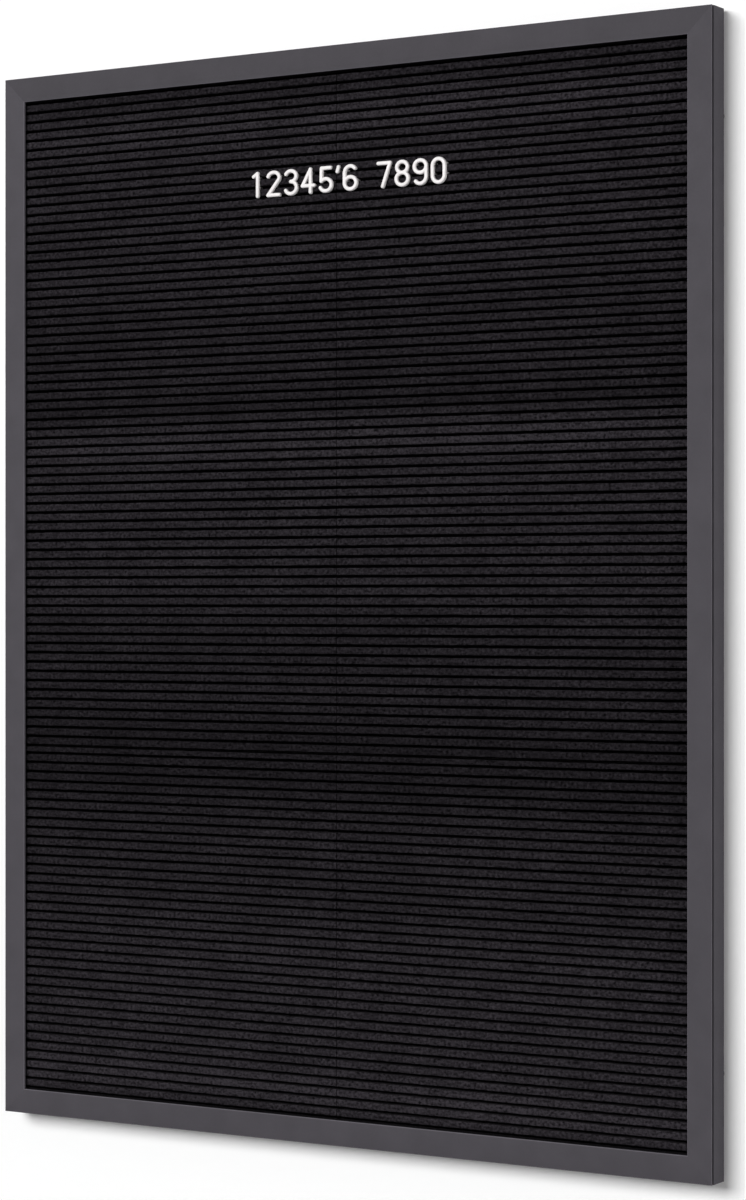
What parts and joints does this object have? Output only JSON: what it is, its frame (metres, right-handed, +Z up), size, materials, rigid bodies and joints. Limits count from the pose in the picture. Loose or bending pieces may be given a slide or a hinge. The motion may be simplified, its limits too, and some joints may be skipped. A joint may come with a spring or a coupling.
{
  "type": "letter board",
  "caption": "Wall-hung letter board: a mitred aluminium frame around grooved black felt tiles, with push-in plastic digits and keyhole hangers behind.",
  "frame": {"origin": "middle of the whole board: width, height and depth, wall pads included", "axes": "+X to the right for someone who faces the board, +Y from the board's front to the wall, +Z up"},
  "size_m": [0.62, 0.0226, 0.82],
  "materials": {
    "powder_coat": "anthracite grey powder coat, fine matt texture, on extruded aluminium",
    "felt": "black flocked felt",
    "hardboard": "smooth brown hardboard",
    "zinc": "plain cast zinc",
    "plated_steel": "zinc-plated, satin",
    "rubber": "matt black foam rubber",
    "white_plastic": "white moulded plastic, soft gloss"
  },
  "bodies": {
    "root": {"apostrophe": "white_plastic", "backing_board": "hardboard", "corner_key_bottom_left": "zinc", "corner_key_bottom_right": "zinc", "corner_key_top_left": "zinc", "corner_key_top_right": "zinc", "corner_screw_bottom_left_level": "plated_steel", "corner_screw_bottom_left_upright": "plated_steel", "corner_screw_bottom_right_level": "plated_steel", "corner_screw_bottom_right_upright": "plated_steel", "corner_screw_top_left_level": "plated_steel", "corner_screw_top_left_upright": "plated_steel", "corner_screw_top_right_level": "plated_steel", "corner_screw_top_right_upright": "plated_steel", "digit_0": "white_plastic", "digit_1": "white_plastic", "digit_2": "white_plastic", "digit_3": "white_plastic", "digit_4": "white_plastic", "digit_5": "white_plastic", "digit_6": "white_plastic", "digit_7": "white_plastic", "digit_8": "white_plastic", "digit_9": "white_plastic", "felt_tile_bottom_left": "felt", "felt_tile_bottom_right": "felt", "felt_tile_middle_left": "felt", "felt_tile_middle_right": "felt", "felt_tile_top_left": "felt", "felt_tile_top_right": "felt", "hanger_plate_left": "plated_steel", "hanger_plate_right": "plated_steel", "hanger_screw_left_a": "plated_steel", "hanger_screw_left_b": "plated_steel", "hanger_screw_right_a": "plated_steel", "hanger_screw_right_b": "plated_steel", "rail_bottom": "powder_coat", "rail_left": "powder_coat", "rail_right": "powder_coat", "rail_top": "powder_coat", "wall_pad_bottom_left": "rubber", "wall_pad_bottom_right": "rubber", "wall_pad_top_left": "rubber", "wall_pad_top_right": "rubber"}
  },
  "joints": []
}
